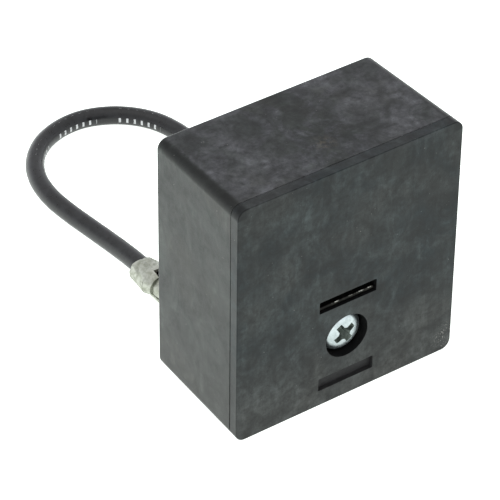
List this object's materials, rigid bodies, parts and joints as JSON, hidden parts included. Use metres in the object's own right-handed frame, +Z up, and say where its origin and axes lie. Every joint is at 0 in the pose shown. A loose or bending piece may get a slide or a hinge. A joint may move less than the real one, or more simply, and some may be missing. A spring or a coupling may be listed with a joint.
{
  "type": "surge protector module",
  "caption": "Potted box surge protector with a recessed screw terminal, a slotted contact tongue and a flying lead ending in a ring terminal.",
  "frame": {"origin": "bottom centre of the moulded box, which stands on its base", "axes": "+Z up, front cover with the screw terminal faces -Y, the lead leaves the rear face towards +Y"},
  "size_m": [0.0536, 0.1093, 0.058],
  "materials": {
    "housing_plastic": "matte moulded",
    "cover_plastic": "matte moulded",
    "zinc_steel": "zinc plated",
    "spring_steel": "satin",
    "tinned_copper": "tin plated, satin",
    "brass": "machined",
    "board_laminate": "solder mask",
    "varistor_coating": "dipped epoxy",
    "capacitor_case": "moulded",
    "resistor_coating": "lacquered",
    "fibre_sheet": "pressed fibre",
    "potting_resin": "cast resin",
    "grommet_rubber": "matte",
    "wire_pvc": "extruded, glossy",
    "bare_copper": "bare strands"
  },
  "bodies": {
    "case": {"housing": "housing_plastic", "front_cover": "cover_plastic", "terminal_plate": "tinned_copper", "terminal_nut": "brass", "line_strap": "tinned_copper", "circuit_board": "board_laminate", "board_screw_left": "zinc_steel", "board_screw_right": "zinc_steel", "varistor_1": "varistor_coating", "varistor_2": "varistor_coating", "varistor_3": "varistor_coating", "thermal_cutoff": "tinned_copper", "bleed_resistor": "resistor_coating", "film_capacitor": "capacitor_case", "insulating_barrier": "fibre_sheet", "potting_compound": "potting_resin", "lead_grommet": "grommet_rubber", "inner_lead": "wire_pvc", "lead_lug": "tinned_copper", "lead_wire": "wire_pvc", "lead_conductor": "bare_copper", "ring_terminal": "tinned_copper"},
    "washers": {"spring_washer": "spring_steel", "flat_washer": "zinc_steel"},
    "screw": {"terminal_screw": "zinc_steel"}
  },
  "joints": [
    {"name": "screw_travel", "type": "slide", "parent": "case", "child": "washers", "axis": [0, -1, 0], "range_m": [0, 0.0046]},
    {"name": "screw_turn", "type": "hinge", "parent": "washers", "child": "screw", "pos_m": [0, -0.0101, 0.0155], "axis": [0, -1, 0], "range_deg": [0, 2071]}
  ],
  "couplings": [
    {"joint": "screw_turn", "follows": "screw_travel", "rad_per_m": 7854}
  ]
}
